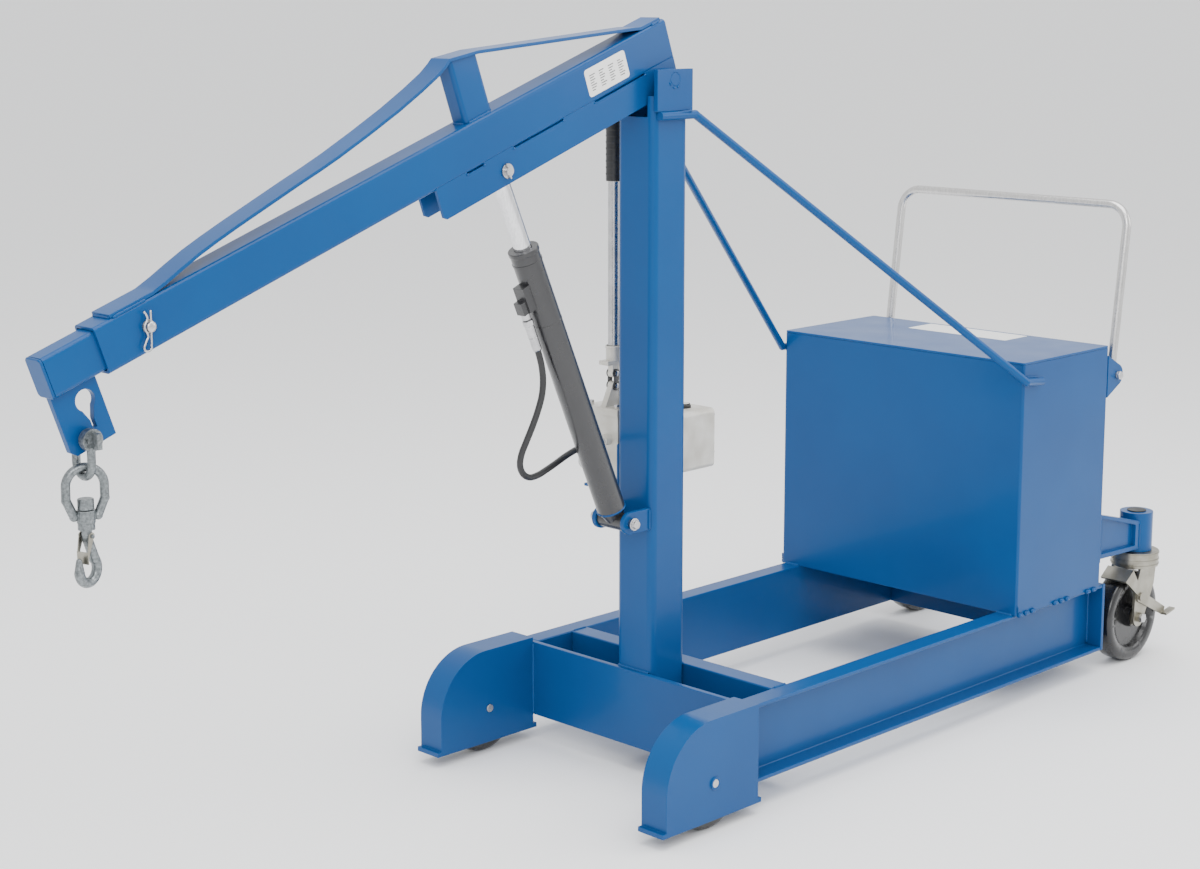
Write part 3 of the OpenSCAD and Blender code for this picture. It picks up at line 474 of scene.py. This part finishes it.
for node in ("ballast_slabs", "ram_piston", "pump_plunger"):
    slots = frame["nodes"][node].data.materials
    slots.clear()
    slots.append(MAT[SLOT_OF[node]])


# ------------------------------------------------------------------ welds

def frame_welds():
    """Beads where the rails, plates, crossbeam, mast and box foot meet."""
    for s in (-1, 1):
        bead(line(at(-MAST_HALF, s * 40, RAIL_TOP), at(-MAST_HALF, -s * 40, RAIL_TOP), 4),
             "frame", 3.5)
        for x in (-MAST_HALF, 54.5):
            bead(line(at(x, s * 265, 60), at(x, s * 265, 188), 4), "frame", 3.5)
        for x in (-MAST_HALF, 1114):
            bead(line(at(x, s * 272, 60), at(x, s * 272, 188), 4), "frame", 3.5)
        bead(line(at(54.5, s * 265, RAIL_TOP), at(88, s * 265, RAIL_TOP), 3), "frame", 2.5)
        bead(line(at(BOX_X0, s * 268, RAIL_TOP), at(BOX_X0, s * 306, RAIL_TOP), 3), "frame", 3.5)
        for x in (774, 797, 820, 905, 928, 951, 1030, 1053):
            bead(line(at(x, s * 318, RAIL_TOP + 1), at(x + 15, s * 318, RAIL_TOP + 1), 3),
                 "frame", 5, 8)
        for y in (HOUSE_INNER_Y, HOUSE_INNER_Y + 42):
            bead(line(at(-59.5, s * y, 52), at(-59.5, s * y, 196), 4), "frame", 3)
    bead(line(at(MAST_HALF, -42, RAIL_TOP), at(MAST_HALF, 42, RAIL_TOP), 4), "frame", 3.5)


def mast_welds():
    """Beads round the pivot pin, under the cheeks, at the ram's ears and the pump's bracket."""
    pivot = at(0, 0, PIVOT_Z)
    for s in (-1, 1):
        face = s * (CHEEK_OUT + 0.2)
        for start in (200, 245, 290):
            bead(arc(pivot + Y * face * MM, 16, start, start + 26, 5, X, Z), "frame", 1.8, 3)
        bead(line(at(-38, s * 49, 1262), at(-6, s * 49, 1262), 3), "frame", 2.6)
        bead(line(at(-45, s * 48.5, 1266), at(-45, s * 48.5, 1288), 3), "frame", 2)
        bead(line(at(-50, s * 42.5, 482), at(-50, s * 42.5, 520), 3), "frame", 2.8)
        bead(line(at(-50, s * 42.5, 481), at(-50, s * 34, 481), 2), "frame", 2.4)
        bead(line(at(-36, s * 56, 1257), at(40, s * 62, 1262), 4), "frame", 2.2)
    bead(line(at(-38, 49.5, 500), at(38, 49.5, 500), 4), "frame", 2.6)


def box_welds():
    """Beads at the tie bars, the handle's ears, the caster arms and their sockets."""
    weld_x = BOX_REAR + 1
    for s in (-1, 1):
        ear_y = s * (BOX_HALF - 5.5)
        for dz in (-8, 8):
            bead(line(at(778, s * 317.5, 694 + dz), at(818, s * 317.5, 690 + dz), 3), "frame", 2.4)
        for z in (623, 705):
            bead(line(at(weld_x, ear_y, z - 4), at(weld_x, ear_y, z + 4), 2), "frame", 2)
        bead(line(at(weld_x, s * (BOX_HALF - 6), 622), at(weld_x, s * (BOX_HALF - 6), 706), 4),
             "frame", 2)
        for y in (261, 311):
            bead(line(at(weld_x, s * y, 252), at(weld_x, s * y, 350), 4), "frame", 3)
        bead(line(at(weld_x, s * 262, 351), at(weld_x, s * 310, 351), 3), "frame", 3)
        for z in (256, 314):
            bead(arc(at(KING[0], s * KING[1], z), 37, 143, 217, 8, X, Y), "frame", 2.6)
        for y in (-25, 25):
            x = KING[0] - math.sqrt(SOCKET_R ** 2 - 25 ** 2)
            bead(line(at(x, s * KING[1] + y, 258), at(x, s * KING[1] + y, 312), 3), "frame", 2.4)
        bead(line(at(BOX_X0 + 4, s * 318, RAIL_TOP + 6),
                  at(BOX_X0 + 4, s * 318, RAIL_TOP + 20), 2), "frame", 2)


def boom_welds():
    """Beads round the king post, along the strap's flat ends, at the seam and the tip plate."""
    front, rear = POST_U
    for s in (-1, 1):
        y = s * 19.5
        bead(line(on_boom(front + 6, y, TUBE_TOP), on_boom(rear - 6, y, TUBE_TOP), 4), "boom", 3)
        for u, run in ((-1228, 62), (4, 22)):
            bead(line(on_boom(u, s * 24, TUBE_TOP), on_boom(u + run, s * 24, TUBE_TOP), 4),
                 "boom", 2.6)
        for gap in SEAM_GAPS:
            for u in gap:
                bead(line(on_boom(u - 3, s * BOOM_HALF, TUBE_BOT - 1),
                          on_boom(u + 3, s * BOOM_HALF, TUBE_BOT - 1), 2), "boom", 1.8, 3)
        bead(line(on_boom(-1352, s * 6.5, 35), on_boom(-1284, s * 6.5, 35), 4), "extension", 2.6)
        bead(line(on_boom(-578, s * 24, TUBE_BOT), on_boom(-578, s * 20, TUBE_BOT), 2), "boom", 2)
    for edge in (front - 0.5, rear + 0.5):
        bead(line(on_boom(edge, -13, TUBE_TOP), on_boom(edge, 13, TUBE_TOP), 3), "boom", 3)
    bead(line(on_boom(-1232, -22, TUBE_TOP + 1), on_boom(-1232, 22, TUBE_TOP + 1), 3),
         "boom", 2.6)


frame_welds()
mast_welds()
box_welds()
boom_welds()


# ------------------------------------------------------------------ labels

def plate(name, corners, look, body, rounding=0.0):
    """A thin flat label: its outline, with round corners, as one face."""
    a, b, c, d = corners
    right, up = (b - a).normalized(), (d - a).normalized()
    outline = []
    centres = [(a, 1, 1, 180), (b, -1, 1, 270), (c, -1, -1, 0), (d, 1, -1, 90)]
    for corner, i, j, start in centres:
        centre = corner + rounding * MM * (i * right + j * up)
        outline += arc(centre, rounding, start, start + 90, 6, right, up) if rounding else [corner]
    thick = 0.25 * MM * right.cross(up)
    n = len(outline)
    verts = outline + [p + thick for p in outline]
    faces = [tuple(reversed(range(n))), tuple(range(n, 2 * n))]
    faces += [(i, (i + 1) % n, n + (i + 1) % n, n + i) for i in range(n)]
    return add(name, verts, faces, look, body, smooth=False)


def capacity_label():
    """A pale label on the boom's near side with four columns of short plain rules."""
    y = -BOOM_HALF - 0.02
    u0, u1, v0, v1 = -189, -81, 37, 88
    plate("boom_label", [on_boom(u0, y, v0), on_boom(u1, y, v0), on_boom(u1, y, v1),
                         on_boom(u0, y, v1)], "label", "boom", 6)
    verts, faces = [], []
    for column in range(4):
        left = u0 + 10 + 25 * column
        for row in range(7):
            width = (15, 11, 13, 9, 14, 12, 8)[(row + 2 * column) % 7]
            low = v1 - 14 - 4.6 * row
            n = len(verts)
            verts += [on_boom(left, y - 0.4, low), on_boom(left + width, y - 0.4, low),
                      on_boom(left + width, y - 0.4, low + 1.6), on_boom(left, y - 0.4, low + 1.6)]
            faces.append((n, n + 1, n + 2, n + 3))
    add("boom_label_rules", verts, faces, "print", "boom", smooth=False)


def lid_label():
    z = BOX_TOP + 0.02
    plate("lid_label", [at(990, -118, z), at(1077, -118, z), at(1077, 142, z), at(990, 142, z)],
          "label", "frame", 3)


capacity_label()
lid_label()


# ------------------------------------------------------------------ pins, clips and fittings

def hitch_clip():
    """The extension's pin with a spring clip: a straight leg through it, a loop, a waved leg."""
    u, v, y = HITCH_U, TUBE_MID, -BOOM_HALF - 7
    centre = on_boom(u, 0, v)
    outward = (on_boom(0, -1, 0) - on_boom(0, 0, 0)).normalized()
    rod = [(0.1, -31.5), (7.2, -31.5), (8, -30.5), (8, 37.5), (5.6, 39.3), (3, 39.8)]
    pin = lathe("hitch_pin_rod", rod, centre, outward, "steel", "boom")
    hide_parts("hitch_pin")
    lathe("hitch_pin_head", [(12, -32.3), (12, -28.5), (11.2, -27.8)], centre, outward,
          "steel", "boom")
    lathe("hitch_pin_washer", [(10.5, 27.4), (10.5, 29), (10, 29.4)], centre, outward,
          "zinc", "boom")
    tilt = -BOOM_SLOPE

    def clip_at(across, along):
        du = across * math.cos(tilt) - along * math.sin(tilt)
        dv = across * math.sin(tilt) + along * math.cos(tilt)
        return on_boom(u + du, y, v + dv)

    leg = [(0, 25), (0, 12), (0, -12), (0, -26)]
    loop = [(-6.5 + 6.5 * math.cos(math.radians(a)), -30.5 + 6.5 * math.sin(math.radians(a)))
            for a in range(20, -221, -24)]
    wave = [(-8.5, -20), (-5.5, -14), (-7.5, -8), (-10.8, -2), (-10.8, 3), (-7.5, 9),
            (-6, 14), (-8.5, 20), (-12, 24)]
    points = [clip_at(*p) for p in leg + loop + wave]
    sweep("hitch_clip", smooth_route(points, 4), 1.8, "steel", "boom", sides=12)


def hex_fixings():
    """Bolt heads on the handle's hinge, and the casters' nuts, race lips and hub rings."""
    for s in (-1, 1):
        hinge = at(HANDLE_HINGE[0], s * 320.8, HANDLE_HINGE[1])
        hex_head(f"handle_bolt_{'lr'[s > 0]}", hinge, (0, s, 0), 17, 6, "steel", "frame")
        fork = ("left_caster", "right_caster")[s > 0]
        for side, name in ((1, "outer"), (-1, "inner")):
            y = s * (KING[1] + side * 43.8)
            hex_head(f"{fork}_nut_{name}", at(CASTER_AXLE[0], y, CASTER_AXLE[1]),
                     (0, s * side, 0), 19, 7, "steel", fork)
        for low, high in ((215, 218.5), (226, 229.5), (240, 243.5)):
            lip = [(50, low), (53.5, low + 0.6), (53.5, high - 0.6), (50, high)]
            lathe(f"{fork}_race_{low}", lip, at(KING[0], s * KING[1], 0), Z, "zinc", fork)
        wheel = fork + "_wheel"
        for side in (-1, 1):
            face = at(CASTER_AXLE[0], s * KING[1] + side * 24.5, CASTER_AXLE[1])
            lathe(f"{wheel}_hub_{'io'[side > 0]}",
                  [(18, 0), (21, 0.2), (21, 1.2), (19.5, 1.7), (12, 1.7), (12, 0.4)],
                  face, (0, side, 0), "zinc", wheel)


def ram_fittings():
    """The port's union and nut, the barrel's rings and foot weld, and the hose's ferrules."""
    down = (on_ram(0, 0, 0) - on_ram(0, 0, 1)).normalized()
    union = [(8.3, 0), (8.3, 12), (7.4, 13), (7.4, 22), (8.6, 23), (8.6, 48.5), (7, 49)]
    lathe("port_union", union, on_ram(-43, 0, 474), down, "steel", "ram_barrel")
    hex_head("port_nut", on_ram(-43, 0, 459), down, 18, 11, "steel", "ram_barrel")
    axis = (on_ram(0, 0, 1) - on_ram(0, 0, 0)).normalized()
    for z, r, tall in ((432, 27.5, 3), (553, 27.9, 5)):
        lathe(f"barrel_ring_{z}", [(26, 0), (r, 0.8), (r, tall - 0.8), (26, tall)],
              on_ram(0, 0, z), axis, "black_paint", "ram_barrel")
    across = axis.cross(Y).normalized()
    bead(arc(on_ram(0, 0, BARREL_BOTTOM + 1), 26.6, 0, 360, 40, across, Y), "ram_barrel", 2)
    sweep("hose_ferrule_ram", hose_route[:9], [8.4] * 8 + [7.2], "steel", "ram_barrel", sides=24)
    sweep("hose_ferrule_pump", hose_route[-9:], [7.2] + [8.4] * 8, "steel", "frame", sides=24)


def pump_details():
    """The head's bolts, the tank's cap and rods, the lever with its ribbed grip, and link pins."""
    for x, y in ((-24, 68), (-24, 136), (30, 68), (30, 136)):
        hex_head(f"pump_bolt_{x}_{y}".replace("-", "m"), at(x, y, 698), Z, 10, 5, "steel", "frame")
    lathe("tank_cap", [(13, 0), (13, 5), (11, 6.5), (11, 8.6)], at(205, 103, 661.2), Z,
          "black_plastic", "frame", sides=32)
    for z in (572, 648):
        for y in (64, 142):
            lathe(f"tank_rod_{z}_{y}", [(4, 0), (4, 3), (3, 3.6)], at(245, y, z), X, "steel",
                  "frame", sides=20)
    lathe("lever_tube", [(11.15, 0), (11.15, 316)], at(LEVER_X, PUMP_Y, 812), Z, "steel",
          "pump_handle")
    lathe("lever_grip", [(11.4, 0), (15.2, 1.5), (15.2, 140), (14, 143.5), (6, 144.8)],
          at(LEVER_X, PUMP_Y, 1124.5), Z, "rubber", "pump_handle")
    for z in range(1136, 1258, 12):
        lathe(f"grip_rib_{z}", [(14.8, 0), (15.7, 1.5), (15.7, 4.5), (14.8, 6)],
              at(LEVER_X, PUMP_Y, z), Z, "rubber", "pump_handle", sides=32)
    lathe("lever_socket_lip", [(14.5, 0), (16.2, 1), (16.2, 5), (14.5, 6)],
          at(LEVER_X, PUMP_Y, 805), Z, "cast_silver", "pump_handle")
    for z in (733, 757):
        for s in (-1, 1):
            lathe(f"link_pin_{z}_{'ab'[s > 0]}", [(5.2, 0), (5.2, 1.6), (4.2, 2.2)],
                  at(-2, PUMP_Y + s * 10.2, z), (0, s, 0), "steel", "frame", sides=20)


hitch_clip()
hex_fixings()
ram_fittings()
pump_details()


# ------------------------------------------------------------------ studio

def studio():
    """A wide pale floor just under the wheels, an even sky and three area lights."""
    size, low = 400, -0.0008
    corners = [(-size, -size, low), (size, -size, low), (size, size, low), (-size, size, low)]
    mesh = bpy.data.meshes.new("floor")
    mesh.from_pydata(corners, [], [(0, 1, 2, 3)])
    m, tree, shader = new_material("floor", (0.95, 0.95, 0.95), 0.8)
    mesh.materials.append(m)
    floor = bpy.data.objects.new("floor", mesh)
    bpy.context.scene.collection.objects.link(floor)
    world = bpy.data.worlds.new("studio")
    world.use_nodes = True
    sky = world.node_tree.nodes["Background"]
    sky.inputs["Color"].default_value = (0.98, 0.99, 1, 1)
    sky.inputs["Strength"].default_value = 1.35
    bpy.context.scene.world = world
    for name, place, aim, width, power in (
            ("top", (0.3, -0.6, 4.2), (0, 0, 0.6), 3.6, 170),
            ("key", (-3.6, -3.2, 3.2), (0, 0, 0.6), 2.4, 110),
            ("side", (3.2, -3.0, 2.2), (0.3, 0, 0.6), 2.2, 45)):
        light = bpy.data.lights.new(name, "AREA")
        light.shape = "SQUARE"
        light.size = width
        light.energy = power
        lamp = bpy.data.objects.new(name, light)
        lamp.location = place
        lamp.rotation_mode = "QUATERNION"
        lamp.rotation_quaternion = (Vector(aim) - Vector(place)).to_track_quat("-Z", "Y")
        bpy.context.scene.collection.objects.link(lamp)


studio()
